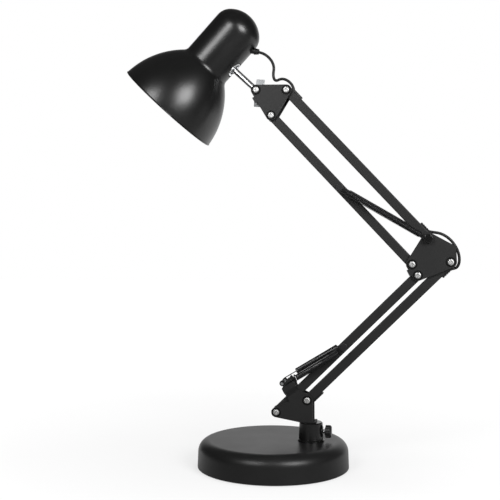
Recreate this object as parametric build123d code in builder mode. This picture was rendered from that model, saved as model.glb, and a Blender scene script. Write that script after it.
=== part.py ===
from build123d import *
import math
import os

os.makedirs("parts", exist_ok=True)

# Desk lamp: weighted round base, swivelling post, two sprung arms of parallel bars, tilting bell shade.
# Millimetres. +Z is up, the arms lie in the plane Y = 0, and the origin is in the middle of the underside.

# Base
base_radius = 95.0
base_height = 34.0
base_lean = 1.2          # how far the side wall leans in from foot to shoulder
base_edge_radius = 14.0
base_wall = 1.5
cover_lift = 1.0         # the cover's rim stands this far above the table
pad_thickness = 2.0
pad_margin = 2.0
base_plate_thickness = 1.5
base_plate_clearance = 0.4
weight_margin = 9.5      # from the cover's inside to the weight
weight_thickness = 15.0
weight_boss_radius = 18.0
base_screw_inset = 14.0  # from the weight's edge
base_screw_count = 3
base_screw_radius = 2.0
base_screw_head_radius = 4.0
base_screw_length = 12.0
base_screw_turn = 60.0   # where the first screw lies, counted from +X
weight_edge = 1.0

# Post socket and its lock knob
post_x = 48.0
post_radius = 6.0
post_tail_gap = 1.0      # left under the post in its blind bore
post_neck_radius = 4.0
post_head_radius = 6.5
post_head_height = 1.6
socket_foot_radius = 15.4
socket_top_radius = 14.6
socket_height = 23.5
socket_floor = 4.0
socket_flange = 1.2
socket_edge = 1.2
spigot_radius = 5.0
spigot_end_height = 6.0
socket_nut_width = 17.0
socket_nut_height = 7.0
spigot_tail = 1.0        # the spigot's end below its nut
nut_pocket_radius = 12.0
lock_height = 12.0       # the lock screw's axis above the base top
lock_screw_radius = 2.5
lock_boss_radius = 6.0
lock_boss_reach = 15.2
lock_tip_gap = 0.1
lock_tip_edge = 0.5
knob_radius = 7.8
knob_length = 8.3
knob_gap = 2.1
knob_flutes = 9
knob_flute_radius = 1.3
knob_edge = 1.4
knob_hub_radius = 4.6
knob_hub_height = 1.0
knob_face = 2.0          # left in front of the screw

# Arms: pivot to pivot lengths and their angles in the stored pose, counted from +X towards +Z
lower_pivot_offset = -3.9   # from the post's axis
lower_pivot_height = 27.6   # above the foot of the lower bracket
lower_bar_pitch = 244.5
lower_bar_angle = 44.75
lower_link_pitch = 42.1
lower_link_angle = 22.6
elbow_rivet_pitch = 38.66
elbow_rivet_angle = 133.05
upper_bar_pitch = 254.3
upper_bar_angle = 133.0
upper_link_pitch = 36.6
upper_link_angle = 58.4
head_pivot_pitch = 38.3
head_pivot_angle = 178.2

bar_size = 11.4
bar_corner = 1.2
bar_wall = 1.0
bar_overhang = 4.2
plug_length = 9.0
plug_clearance = 0.05

# Brackets, bolts and spacers
bracket_gap = 15.2
plate_thickness = 1.5
bracket_lift = 0.3       # running gap between the socket and the bracket's foot
foot_left = 12.7         # the foot's reach to the left of the post's axis
foot_right = 3.5
foot_web_right = 7.0
bolt_radius = 2.0
bolt_head_radius = 4.0
bolt_head_height = 2.6
bolt_tail = 4.6
head_rounding = 0.6      # edge radius of a bolt's, pin's or rivet's head, as a share of its height
recess_width = 1.1
recess_length = 4.6
recess_depth = 1.2
nut_width = 7.0
nut_height = 3.8
running_clearance = 0.05
open_pivot_clearance = 0.05  # added where a link bar closes its four-bar loop
hole_clearance = 0.1
spacer_radius = 4.2
bar_side_gap = 0.1
lower_lobe_radius = 6.2
main_lobe_radius = 7.2
link_lobe_radius = 6.8
rivet_lobe_radius = 7.5
elbow_corner_radius = 6.5
elbow_corner_rise = 14.9    # the rounded corner's centre above the main elbow pivot
head_lobe_radius = 6.6
bridge_length = 6.0
bridge_thickness = 1.2
bridge_stand = 8.2       # the bridge's middle, square to the line between its two pivots
bump_length = 7.5
bump_depth = 3.2
head_bridge_shift = 9.0

# Ears of the lower bracket, jogged outwards to meet the springs
fold_offset = 24.5          # the fold's lower end to the left of the main pivot
fold_rise = 30.5            # the fold's lower end above the bracket's foot
fold_angle = 36.3
fold_length = 16.4
jog_rise = 6.6
jog_out = 3.0
ear_edge_radius = 0.8
# along and above the fold
ear_corners = ((1.3, 7.4), (1.6, 12.4), (15.9, 18.6), (17.6, 10.0), (15.6, 7.4))
shoulder_turn = 62.0        # where the cheek's upper edge meets the main lobe
anchor_along = 5.6
anchor_up = 17.9
anchor_lobe_radius = 3.6

# Springs and the pins that hold them
spring_plane = 13.2         # distance of each spring's axis from the arm's middle plane
spring_diameter = 7.6
wire_diameter = 1.3
upper_turns = 28
lower_turns = 20
upper_coil_lift = 1.0       # how far the coil lies beside the line from pin to pin
lower_coil_lift = 2.8
upper_spring_pin_distance = 128.6    # from the pivot on the elbow, along the bar
lower_spring_pin_distance = 118.9    # from the pivot on the lower bracket, along the bar
loop_seat_gap = 0.2
upper_loop_reach = 10.2     # pin centre to the first turn
lower_loop_reach = 18.0
far_loop_reach = 9.0
hook_bend_length = 3.0
hook_turn = 235.0
hook_lead_in = 60.0         # how far round the coil a loop's shank joins it
spring_pin_radius = 2.0
spring_pin_head_radius = 5.0
spring_pin_head_height = 1.6
spring_pin_shoulder_radius = 3.4
loop_room = 0.9             # half the width left for a loop between shoulder and head
rivet_radius = 2.5
rivet_head_radius = 5.4
anchor_pin_radius = 1.2
anchor_head_radius = 1.8
anchor_head_height = 0.9

# Lead and its clips on the bars
lead_diameter = 3.0
lead_hole_clearance = 0.3
clip_start = 2.0
clip_end = 20.0
clip_proud = 2.4
clip_width = 8.0
clip_rib_depth = 0.5
clip_ribs = 6
clip_rib_share = 0.6        # of the ribs' spacing
lead_wall_along = 8.0       # where the lead crosses a bar's wall
lead_axis_along = 14.0      # where it reaches the bar's middle line
lead_clear = 1.2            # straight run of the lead beyond a clip
lead_bend_share = 0.45      # of the shorter run beside a bend, taken by its arc

# Bends of the loose lead, to the right of and above the main pivot of the elbow and of the head
elbow_lead_bends = ((-11.2, 34.7), (-1.2, 28.5), (5.9, 19.5), (9.9, 9.9), (10.7, 0.9), (8.7, -5.5))
head_lead_bends = ((-22.3, 42.9), (-16.3, 32.0), (-18.3, 19.6), (-15.1, 12.5), (-6.9, 16.3), (1.7, 12.9))
head_lead_inside = ((4.5, 4.5), (4.0, 14.0))    # beyond the holder's nipple and out from the shade's axis
head_lead_grommet_run = (10.0, 12.0)            # straight inside and outside the neck

# Tilting head: rod, wing nut and swivel
rod_radius = 3.75
rod_reach = 71.9            # tilt bolt to the shade's axis
rod_eye_radius = 6.3
rod_eye_width = 11.6
washer_radius = 6.0
washer_clearance = 0.05
stud_radius = 3.0
swivel_nut_width = 10.0
swivel_nut_height = 5.0
cup_radius = 9.5
cup_height = 2.6
cup_wall = 1.0
wing_angle = 84.0
wing_reach = 17.5
wing_width = 10.5
wing_sheet = 1.8
wing_hub_radius = 5.4
wing_hub_height = 6.0
wing_tip_lift = 5.0
stud_tail = 1.0             # how far a stud or bolt shows beyond its nut

# Shade: s runs along its axis from the rim, r is the distance from the axis
shade_axis_angle = 46.6
shade_rim_radius = 69.3
shade_shoulder = 72.3
shade_bowl_radius = 109.3
shade_neck_radius = 32.0
shade_neck_end = 130.5
shade_dome_height = 26.0
shade_dome_shoulder = 22.0
shade_fillet = 8.0
shade_wall = 0.9
rim_roll_radius = 0.9
rod_station = 93.9
neck_hole_radius = 11.0
grommet_station = 126.2
grommet_angle = -8.0
grommet_radius = 4.2
grommet_length = 9.0
grommet_inside = 3.0
grommet_neck_radius = 3.2
grommet_taper = 8.0

# Lamp holder and bulb
holder_plate_station = 110.0
holder_plate_thickness = 1.5
holder_plate_clearance = 0.1
holder_leg_gap = 3.4        # from the neck's inside, at its middle, to the leg
holder_leg_thickness = 2.0
holder_leg_width = 24.0
holder_leg_end = 84.0
holder_radius = 19.0
holder_mouth = 64.5
holder_bore_radius = 14.2
holder_floor = 93.0
holder_edge = 1.0
holder_collar = 8.0         # the thicker ring at the holder's mouth
holder_step = 1.5
holder_cone = 6.0
holder_shoulder = 5.0       # flat ring round the nipple
nipple_radius = 5.0
nipple_bore_radius = 2.2
nipple_end = 118.0
nipple_nut_width = 14.0
nipple_nut_height = 3.5
contact_shell_wall = 0.5
contact_shell_start = 72.0
contact_height = 1.8
contact_radius = 4.0
bulb_cap_radius = 13.2
bulb_cap_start = 67.0
bulb_cap_gap = 0.2
bulb_cap_cone = 4.0
bulb_cap_edge = 2.0
bulb_radius = 28.0
bulb_centre = 32.0
bulb_glass_wall = 1.0
bulb_seat_gap = 0.1
bulb_belly_angle = 35.0     # where the round belly runs into the cone


def polar(point, distance, angle):
    """A point of the arm plane, as (x, z), at a distance and an angle from another."""
    turn = math.radians(angle)
    return (point[0] + distance * math.cos(turn), point[1] + distance * math.sin(turn))


def middle(first, second):
    """The point halfway between two points of the arm plane."""
    return ((first[0] + second[0]) / 2, (first[1] + second[1]) / 2)


def bearing(first, second):
    """The angle of the line from the first point to the second."""
    return math.degrees(math.atan2(second[1] - first[1], second[0] - first[0]))


def side_plane(y):
    """The arm plane moved to a given Y, with X to the right, Z up and its normal to the front (-Y)."""
    return Plane(origin=(0, y, 0), x_dir=(1, 0, 0), z_dir=(0, -1, 0))


def bar_plane(point, angle, along=0.0):
    """A plane square to a bar at a distance along it, with x along Y and y to the bar's upper side."""
    start = polar(point, along, angle)
    run = polar((0, 0), 1, angle)
    return Plane(origin=(start[0], 0, start[1]), x_dir=(0, 1, 0), z_dir=(run[0], 0, run[1]))


def pin(point, low, high, radius, mode=Mode.ADD):
    """A cylinder along Y in the part being built."""
    with Locations((point[0], (low + high) / 2, point[1])):
        Cylinder(radius, high - low, rotation=(90, 0, 0), mode=mode)


def save(part, label):
    """Labels a finished piece and writes it."""
    part.label = label
    export_step(part, f"parts/{label}.step")


# Places worked out from the driving dimensions
plate_inner = bracket_gap / 2
plate_outer = plate_inner + plate_thickness
bar_half = bar_size / 2
wire_radius = wire_diameter / 2
lead_radius = lead_diameter / 2
base_top = base_height
weight_radius = base_radius - base_wall - weight_margin
base_screw_circle = weight_radius - base_screw_inset
socket_top = base_top + socket_height
foot_height = socket_top + bracket_lift

lower_main = (post_x + lower_pivot_offset, foot_height + lower_pivot_height)
lower_link = polar(lower_main, -lower_link_pitch, lower_link_angle)
elbow_main = polar(lower_main, lower_bar_pitch, lower_bar_angle)
elbow_link = polar(lower_link, lower_bar_pitch, lower_bar_angle)
elbow_rivet = polar(elbow_main, elbow_rivet_pitch, elbow_rivet_angle)
elbow_upper = polar(elbow_rivet, -upper_link_pitch, upper_link_angle)
head_main = polar(elbow_rivet, upper_bar_pitch, upper_bar_angle)
head_link = polar(elbow_upper, upper_bar_pitch, upper_bar_angle)
head_tilt = polar(head_main, head_pivot_pitch, head_pivot_angle)

shade_along = polar((0, 0), 1, shade_axis_angle)
rod_angle = shade_axis_angle + 90
swivel_point = polar(head_tilt, rod_reach, rod_angle)
rim_point = polar(swivel_point, -rod_station, shade_axis_angle)
shade_plane = Plane(
    origin=(rim_point[0], 0, rim_point[1]),
    x_dir=(shade_along[1], 0, -shade_along[0]),
    z_dir=(0, -1, 0),
)
shade_axis = Axis((rim_point[0], 0, rim_point[1]), (shade_along[0], 0, shade_along[1]))


def on_shade(s, r):
    """The point of the arm plane at a station s and radius r of the shade, on the side of the rod."""
    return polar(polar(rim_point, s, shade_axis_angle), r, shade_axis_angle - 90)


# Base: cover, weight, closing plate, pad and screws
with BuildPart() as base_cover:
    for inset, mode in ((0.0, Mode.ADD), (base_wall, Mode.SUBTRACT)):
        with BuildSketch(Plane.XZ):
            with BuildLine():
                Polyline(
                    (0, cover_lift),
                    (base_radius - inset, cover_lift),
                    (base_radius - base_lean - inset, base_top - inset),
                    (0, base_top - inset),
                    close=True,
                )
            face = make_face()
            fillet(face.vertices().sort_by(Axis.X)[-2:].sort_by(Axis.Y)[-1], base_edge_radius - inset)
        revolve(axis=Axis.Z, mode=mode)
    with Locations((post_x, 0, base_top)):
        Hole(spigot_radius + hole_clearance, 2 * base_wall)
save(base_cover.part, "base_cover")

base_plate_low = pad_thickness
weight_low = base_plate_low + base_plate_thickness
pocket_top = spigot_end_height + socket_nut_height + spigot_tail

with BuildPart() as base_weight:
    with BuildSketch(Plane.XY.offset(weight_low)):
        Circle(weight_radius)
    extrude(amount=weight_thickness)
    with BuildSketch(Plane.XY.offset(weight_low)):
        with Locations((post_x, 0)):
            Circle(weight_boss_radius)
    extrude(amount=base_top - base_wall - weight_low)
    with Locations((post_x, 0, base_top)):
        Hole(spigot_radius + hole_clearance, base_height)
    with BuildSketch(Plane.XY.offset(weight_low)):
        with Locations((post_x, 0)):
            Circle(nut_pocket_radius)
    extrude(amount=pocket_top - weight_low, mode=Mode.SUBTRACT)
    with BuildSketch(Plane.XY.offset(weight_low)):
        with PolarLocations(base_screw_circle, base_screw_count, start_angle=base_screw_turn):
            Circle(base_screw_radius + running_clearance)
    extrude(amount=base_screw_length, mode=Mode.SUBTRACT)
    chamfer(base_weight.edges().filter_by(GeomType.CIRCLE).sort_by(SortBy.RADIUS)[-1], weight_edge)
save(base_weight.part, "base_weight")

with BuildPart() as base_plate:
    with BuildSketch(Plane.XY.offset(base_plate_low)):
        Circle(base_radius - base_wall - base_plate_clearance)
    extrude(amount=base_plate_thickness)
    with BuildSketch(Plane.XY.offset(base_plate_low)):
        with PolarLocations(base_screw_circle, base_screw_count, start_angle=base_screw_turn):
            Circle(base_screw_head_radius + hole_clearance)
    extrude(amount=base_plate_thickness, taper=45, mode=Mode.SUBTRACT)
save(base_plate.part, "base_plate")

with BuildPart() as base_screws:
    with BuildSketch(Plane.XY.offset(base_plate_low)):
        with PolarLocations(base_screw_circle, base_screw_count, start_angle=base_screw_turn):
            Circle(base_screw_head_radius)
    extrude(amount=base_plate_thickness, taper=45)
    with BuildSketch(Plane.XY.offset(base_plate_low)):
        with PolarLocations(base_screw_circle, base_screw_count, start_angle=base_screw_turn):
            Circle(base_screw_radius)
    extrude(amount=base_screw_length)
save(base_screws.part, "base_screws")

with BuildPart() as base_pad:
    with BuildSketch(Plane.XY):
        Circle(base_radius - base_wall - pad_margin)
    extrude(amount=pad_thickness)
save(base_pad.part, "base_pad")

# Post socket with its spigot, nut, lock screw and knob
post_axis = Axis((post_x, 0, 0), (0, 0, 1))
lock_z = base_top + lock_height
post_bore_radius = post_radius + running_clearance
bore_floor = base_top + socket_floor

with BuildPart() as post_socket:
    with BuildSketch(Plane.XZ):
        with BuildLine():
            Polyline(
                (post_x, spigot_end_height),
                (post_x + spigot_radius, spigot_end_height),
                (post_x + spigot_radius, base_top),
                (post_x + socket_foot_radius + socket_flange, base_top),
                (post_x + socket_foot_radius + socket_flange, base_top + socket_flange),
                (post_x + socket_foot_radius, base_top + 2 * socket_flange),
                (post_x + socket_top_radius, socket_top - socket_edge),
                (post_x + socket_top_radius - socket_edge, socket_top),
                (post_x, socket_top),
                close=True,
            )
        make_face()
    revolve(axis=post_axis)
    with BuildSketch(Plane(origin=(post_x, 0, lock_z), z_dir=(1, 0, 0))):
        Circle(lock_boss_radius)
    extrude(amount=lock_boss_reach)
    with Locations((post_x, 0, socket_top)):
        Hole(post_bore_radius, socket_top - bore_floor)
    with BuildSketch(Plane(origin=(post_x, 0, lock_z), z_dir=(1, 0, 0))):
        Circle(lock_screw_radius + running_clearance)
    extrude(amount=lock_boss_reach + knob_gap, mode=Mode.SUBTRACT)
save(post_socket.part, "post_socket")

with BuildPart() as socket_nut:
    with BuildSketch(Plane.XY.offset(pocket_top - socket_nut_height)):
        with Locations((post_x, 0)):
            RegularPolygon(socket_nut_width / 2, 6, major_radius=False)
            Circle(spigot_radius + running_clearance, mode=Mode.SUBTRACT)
    extrude(amount=socket_nut_height)
save(socket_nut.part, "socket_nut")

lock_tip = post_x + post_radius + lock_tip_gap
knob_start = post_x + lock_boss_reach + knob_gap
knob_floor = knob_start + knob_length - knob_face

with BuildPart() as lock_screw:
    with BuildSketch(Plane(origin=(lock_tip, 0, lock_z), z_dir=(1, 0, 0))):
        Circle(lock_screw_radius)
    extrude(amount=knob_floor - lock_tip)
    chamfer(lock_screw.edges().sort_by(Axis.X)[0], lock_tip_edge)
save(lock_screw.part, "lock_screw")

with BuildPart() as lock_knob:
    with BuildSketch(Plane(origin=(knob_start, 0, lock_z), z_dir=(1, 0, 0))):
        Circle(knob_hub_radius)
    extrude(amount=knob_length)
    with BuildSketch(Plane(origin=(knob_start + knob_hub_height, 0, lock_z), z_dir=(1, 0, 0))):
        Circle(knob_radius)
    extrude(amount=knob_length - knob_hub_height)
    chamfer(lock_knob.edges().group_by(Axis.X)[-1], knob_edge)
    with BuildSketch(Plane(origin=(knob_start, 0, lock_z), z_dir=(1, 0, 0))):
        with PolarLocations(knob_radius + knob_flute_radius / 2, knob_flutes):
            Circle(knob_flute_radius)
    extrude(amount=knob_length, mode=Mode.SUBTRACT)
    with BuildSketch(Plane(origin=(knob_start, 0, lock_z), z_dir=(1, 0, 0))):
        Circle(lock_screw_radius + running_clearance)
    extrude(amount=knob_floor - knob_start, mode=Mode.SUBTRACT)
save(lock_knob.part, "lock_knob")

# Lower bracket: a folded U on a riveted post, with two jogged ears for the springs
web_top = foot_height + plate_thickness

with BuildPart() as post:
    with BuildSketch(Plane.XZ):
        with BuildLine():
            Polyline(
                (post_x, bore_floor + post_tail_gap),
                (post_x + post_radius, bore_floor + post_tail_gap),
                (post_x + post_radius, foot_height),
                (post_x + post_neck_radius, foot_height),
                (post_x + post_neck_radius, web_top),
                (post_x + post_head_radius, web_top),
                (post_x + post_neck_radius, web_top + post_head_height),
                (post_x, web_top + post_head_height),
                close=True,
            )
        make_face()
    revolve(axis=post_axis)
save(post.part, "post")

fold_start = (lower_main[0] - fold_offset, foot_height + fold_rise)
fold_end = polar(fold_start, fold_length, fold_angle)
ear_up = fold_angle + 90
anchor = polar(polar(fold_start, anchor_along, fold_angle), anchor_up, ear_up)
ear_inner = plate_inner + jog_out
ear_outer = plate_outer + jog_out
fold_run = polar((0, 0), 1, fold_angle)
ear_run = polar((0, 0), 1, ear_up)

with BuildPart() as lower_bracket:
    with BuildSketch(side_plane(-plate_inner)) as cheek:
        with Locations(lower_link):
            Circle(lower_lobe_radius)
        with Locations(lower_main):
            Circle(main_lobe_radius)
        with BuildLine():
            Line((post_x - foot_left, foot_height), (post_x + foot_right, foot_height))
        make_hull(cheek.edges() + cheek.pending_edges)
        with BuildLine():
            Polyline(fold_start, fold_end, polar(lower_main, main_lobe_radius, shoulder_turn), lower_main,
                     polar(lower_link, lower_link_pitch / 2, lower_link_angle), close=True)
        make_face()
    extrude(amount=plate_thickness)
    with BuildSketch(Plane(origin=(fold_start[0], 0, fold_start[1]), x_dir=(ear_run[0], 0, ear_run[1]),
                           z_dir=(fold_run[0], 0, fold_run[1]))):
        with BuildLine():
            Polyline(
                (0, -plate_inner),
                (0, -plate_outer),
                (jog_rise, -ear_outer),
                (jog_rise, -ear_inner),
                close=True,
            )
        make_face()
    extrude(amount=fold_length)
    with BuildSketch(side_plane(-ear_inner)) as ear:
        for along, up in ear_corners:
            with Locations(polar(polar(fold_start, along, fold_angle), up, ear_up)):
                Circle(ear_edge_radius)
        with BuildLine():
            Line(polar(fold_start, jog_rise, ear_up), polar(fold_end, jog_rise, ear_up))
        make_hull(ear.edges() + ear.pending_edges)
        with Locations(anchor):
            Circle(anchor_lobe_radius)
    extrude(amount=plate_thickness)
    mirror(about=Plane.XZ)
    with BuildSketch(Plane.XY.offset(foot_height)):
        with Locations((post_x + (foot_web_right - foot_left) / 2, 0)):
            Rectangle(foot_web_right + foot_left, 2 * plate_outer)
    extrude(amount=plate_thickness)
    for centre in (lower_main, lower_link):
        pin(centre, -ear_outer, ear_outer, bolt_radius + hole_clearance, mode=Mode.SUBTRACT)
    pin(anchor, -ear_outer, ear_outer, anchor_pin_radius + running_clearance, mode=Mode.SUBTRACT)
    with Locations((post_x, 0, web_top)):
        Hole(post_neck_radius + running_clearance, plate_thickness)
save(lower_bracket.part, "lower_bracket")


def pivot_hardware(prefix, bolted, spaced):
    """Writes the bolts and nuts of a bracket's bolted pivots, and the spacers of all its pivots."""
    with BuildPart() as bolts:
        for centre in bolted:
            pin(centre, -plate_outer, plate_outer + bolt_tail, bolt_radius)
            pin(centre, -plate_outer - bolt_head_height, -plate_outer, bolt_head_radius)
        rims = bolts.edges().group_by(Axis.Y)[0]
        fillet(rims, bolt_head_height * head_rounding)
        for centre in bolted:
            with Locations((centre[0], -plate_outer - bolt_head_height, centre[1])):
                Box(recess_length, 2 * recess_depth, recess_width, mode=Mode.SUBTRACT)
                Box(recess_width, 2 * recess_depth, recess_length, mode=Mode.SUBTRACT)
    save(bolts.part, f"{prefix}_bolts")
    with BuildPart() as nuts:
        with BuildSketch(side_plane(plate_outer + nut_height)):
            with Locations(*bolted):
                RegularPolygon(nut_width / 2, 6, major_radius=False)
                Circle(bolt_radius + running_clearance, mode=Mode.SUBTRACT)
        extrude(amount=nut_height)
    save(nuts.part, f"{prefix}_nuts")
    with BuildPart() as spacers:
        for centre, radius in spaced:
            for side in (-1, 1):
                near, far = sorted((side * (bar_half + bar_side_gap), side * plate_inner))
                pin(centre, near, far, spacer_radius)
            pin(centre, -plate_inner, plate_inner, radius + running_clearance, mode=Mode.SUBTRACT)
    save(spacers.part, f"{prefix}_spacers")


pivot_hardware("lower_bracket", (lower_main, lower_link),
               ((lower_main, bolt_radius), (lower_link, bolt_radius)))

with BuildPart() as spring_anchor_pins:
    for side in (-1, 1):
        for near, far, radius in (
            (ear_inner - anchor_head_height, ear_inner, anchor_head_radius),
            (ear_inner, spring_plane + loop_room, anchor_pin_radius),
            (spring_plane + loop_room, spring_plane + loop_room + anchor_head_height, anchor_head_radius),
        ):
            low, high = sorted((side * near, side * far))
            pin(anchor, low, high, radius)
save(spring_anchor_pins.part, "spring_anchor_pins")


# Arm bars: square tubes with nylon plugs that run on the pivots
def lead_hole(start, angle, side, room):
    """Cuts the slanting hole through which the lead leaves a bar near one of its pivots."""
    inner = polar(start, lead_axis_along, angle)
    outer = polar(polar(start, lead_wall_along, angle), bar_half - bar_wall, angle + side)
    slope = bearing(inner, outer)
    hole_start = polar(outer, -lead_diameter, slope)
    run = polar((0, 0), 1, slope)
    with BuildSketch(Plane(origin=(hole_start[0], 0, hole_start[1]), z_dir=(run[0], 0, run[1]))) as hole:
        Circle(lead_radius + lead_hole_clearance)
    extrude(hole.sketch, amount=room, mode=Mode.SUBTRACT)


def arm_bar(name, start, pitch, angle, plug_radii, clip_side=None, pin_hole=None):
    """Writes one bar with its plugs, and its lead clips where the bar carries the lead."""
    ends = ((start, angle), (polar(start, pitch, angle), angle + 180))
    lead_room = lead_diameter + 3 * (bar_wall + clip_proud)
    with BuildPart() as tube:
        with BuildSketch(bar_plane(start, angle, -bar_overhang)):
            RectangleRounded(bar_size, bar_size, bar_corner)
            Rectangle(bar_size - 2 * bar_wall, bar_size - 2 * bar_wall, mode=Mode.SUBTRACT)
        extrude(amount=pitch + 2 * bar_overhang)
        for (centre, turn), radius in zip(ends, plug_radii):
            pin(centre, -bar_size, bar_size, radius + hole_clearance, mode=Mode.SUBTRACT)
            if clip_side:
                lead_hole(centre, turn, clip_side if turn == angle else -clip_side, lead_room)
        if pin_hole:
            pin(pin_hole, -bar_size, bar_size, spring_pin_radius + running_clearance, mode=Mode.SUBTRACT)
    save(tube.part, f"{name}_bar")
    with BuildPart() as plugs:
        for (centre, turn), radius in zip(ends, plug_radii):
            with BuildSketch(bar_plane(centre, turn, -bar_overhang)) as block:
                side = bar_size - 2 * (bar_wall + plug_clearance)
                Rectangle(side, side)
            extrude(block.sketch, amount=plug_length)
            pin(centre, -bar_size, bar_size, radius + running_clearance, mode=Mode.SUBTRACT)
    save(plugs.part, f"{name}_plugs")
    if clip_side:
        with BuildPart() as clips:
            rib_step = (clip_end - clip_start) / clip_ribs
            for centre, turn in ends:
                side = clip_side if turn == angle else -clip_side
                run = polar((0, 0), 1, turn)
                out = polar((0, 0), 1, turn + side)
                seat = polar(polar(centre, clip_start, turn), bar_half, turn + side)
                with BuildSketch(Plane(origin=(seat[0], 0, seat[1]), x_dir=(run[0], 0, run[1]),
                                       z_dir=(out[0], 0, out[1]))) as foot:
                    with Locations(((clip_end - clip_start) / 2, 0)):
                        RectangleRounded(clip_end - clip_start, clip_width, bar_corner)
                extrude(foot.sketch, amount=clip_proud - clip_rib_depth)
                top = polar(seat, clip_proud - clip_rib_depth, turn + side)
                with BuildSketch(Plane(origin=(top[0], 0, top[1]), x_dir=(run[0], 0, run[1]),
                                       z_dir=(out[0], 0, out[1]))) as ribs:
                    for k in range(clip_ribs):
                        with Locations(((k + 0.5) * rib_step, 0)):
                            Rectangle(clip_rib_share * rib_step, clip_width - 2 * bar_corner)
                extrude(ribs.sketch, amount=clip_rib_depth)
                lead_hole(centre, turn, side, lead_room)
        save(clips.part, f"{name}_lead_clips")


upper_spring_pin = polar(elbow_upper, upper_spring_pin_distance, upper_bar_angle)
lower_spring_pin = polar(lower_link, lower_spring_pin_distance, lower_bar_angle)

open_pivot_radius = bolt_radius + open_pivot_clearance
arm_bar("lower_main", lower_main, lower_bar_pitch, lower_bar_angle, (bolt_radius, bolt_radius),
        clip_side=-90)
arm_bar("lower_link", lower_link, lower_bar_pitch, lower_bar_angle, (bolt_radius, open_pivot_radius),
        pin_hole=lower_spring_pin)
arm_bar("upper_main", elbow_rivet, upper_bar_pitch, upper_bar_angle, (rivet_radius, bolt_radius),
        clip_side=-90)
arm_bar("upper_link", elbow_upper, upper_bar_pitch, upper_bar_angle, (bolt_radius, open_pivot_radius),
        pin_hole=upper_spring_pin)

for label, centre in (("lower_spring_pin", lower_spring_pin), ("upper_spring_pin", upper_spring_pin)):
    with BuildPart() as spring_pin:
        reach = spring_plane + loop_room
        pin(centre, -reach, reach, spring_pin_radius)
        for side in (-1, 1):
            for near, far, radius in (
                (bar_half, spring_plane - loop_room, spring_pin_shoulder_radius),
                (reach, reach + spring_pin_head_height, spring_pin_head_radius),
            ):
                low, high = sorted((side * near, side * far))
                pin(centre, low, high, radius)
        faces = spring_pin.edges().group_by(Axis.Y)
        fillet(faces[0] + faces[-1], spring_pin_head_height * head_rounding)
    save(spring_pin.part, label)


# Elbow: a folded pair of plates that carries four pivots
def bridge(first, second, shift=0.0):
    """The middle of a bracket's folded bridge beside the line between two pivots, and that line's angle."""
    line = bearing(first, second)
    return polar(polar(middle(first, second), shift, line), bridge_stand, line - 90), line


def folded_bracket(name, lobes, bridge_at, bridge_angle, holes):
    """Writes a bracket of two plates joined by a narrow folded bridge."""
    with BuildPart() as bracket:
        with BuildSketch(side_plane(-plate_inner)) as plate:
            for centre, radius in lobes:
                with Locations(centre):
                    Circle(radius)
            make_hull(plate.edges())
            with Locations(polar(bridge_at, bump_depth / 2 - bridge_thickness, bridge_angle + 90)):
                Rectangle(bump_length, bump_depth, rotation=bridge_angle)
        extrude(amount=plate_thickness)
        mirror(about=Plane.XZ)
        with BuildSketch(side_plane(plate_outer)):
            with Locations(bridge_at):
                Rectangle(bridge_length, bridge_thickness, rotation=bridge_angle)
        extrude(amount=2 * plate_outer)
        for centre, radius in holes:
            pin(centre, -plate_outer, plate_outer, radius + hole_clearance, mode=Mode.SUBTRACT)
    save(bracket.part, name)


elbow_corner = (elbow_main[0], elbow_main[1] + elbow_corner_rise)
elbow_bridge, elbow_bridge_angle = bridge(elbow_upper, elbow_link)
folded_bracket(
    "elbow_bracket",
    ((elbow_rivet, rivet_lobe_radius), (elbow_corner, elbow_corner_radius), (elbow_main, main_lobe_radius),
     (elbow_link, link_lobe_radius), (elbow_upper, rivet_lobe_radius)),
    elbow_bridge, elbow_bridge_angle,
    ((elbow_rivet, rivet_radius), (elbow_main, bolt_radius), (elbow_link, bolt_radius),
     (elbow_upper, bolt_radius)),
)
pivot_hardware("elbow", (elbow_main, elbow_link, elbow_upper),
               ((elbow_rivet, rivet_radius), (elbow_main, bolt_radius), (elbow_link, bolt_radius),
                (elbow_upper, bolt_radius)))

with BuildPart() as elbow_rivet_pin:
    reach = spring_plane + loop_room
    pin(elbow_rivet, -reach, reach, spring_pin_radius)
    pin(elbow_rivet, -plate_outer, plate_outer, rivet_radius)
    for side in (-1, 1):
        for near, far, radius in (
            (plate_outer, spring_plane - loop_room, spring_pin_shoulder_radius),
            (reach, reach + spring_pin_head_height, rivet_head_radius),
        ):
            low, high = sorted((side * near, side * far))
            pin(elbow_rivet, low, high, radius)
    faces = elbow_rivet_pin.edges().group_by(Axis.Y)
    fillet(faces[0] + faces[-1], spring_pin_head_height * head_rounding)
save(elbow_rivet_pin.part, "elbow_rivet")

# Head bracket, tilt bolt, wing nut and rod
head_bridge, head_bridge_angle = bridge(head_tilt, head_link, -head_bridge_shift)
folded_bracket(
    "head_bracket",
    ((head_tilt, head_lobe_radius), (head_main, head_lobe_radius), (head_link, head_lobe_radius)),
    head_bridge, head_bridge_angle,
    ((head_tilt, bolt_radius), (head_main, bolt_radius), (head_link, bolt_radius)),
)
pivot_hardware("head", (head_main, head_link), ((head_main, bolt_radius), (head_link, bolt_radius)))

with BuildPart() as tilt_bolt:
    pin(head_tilt, -plate_outer, plate_outer + wing_hub_height + stud_tail, bolt_radius)
    pin(head_tilt, -plate_outer - bolt_head_height, -plate_outer, bolt_head_radius)
    fillet(tilt_bolt.edges().group_by(Axis.Y)[0], bolt_head_height * head_rounding)
    with Locations((head_tilt[0], -plate_outer - bolt_head_height, head_tilt[1])):
        Box(recess_length, 2 * recess_depth, recess_width, mode=Mode.SUBTRACT)
        Box(recess_width, 2 * recess_depth, recess_length, mode=Mode.SUBTRACT)
save(tilt_bolt.part, "tilt_bolt")

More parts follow.
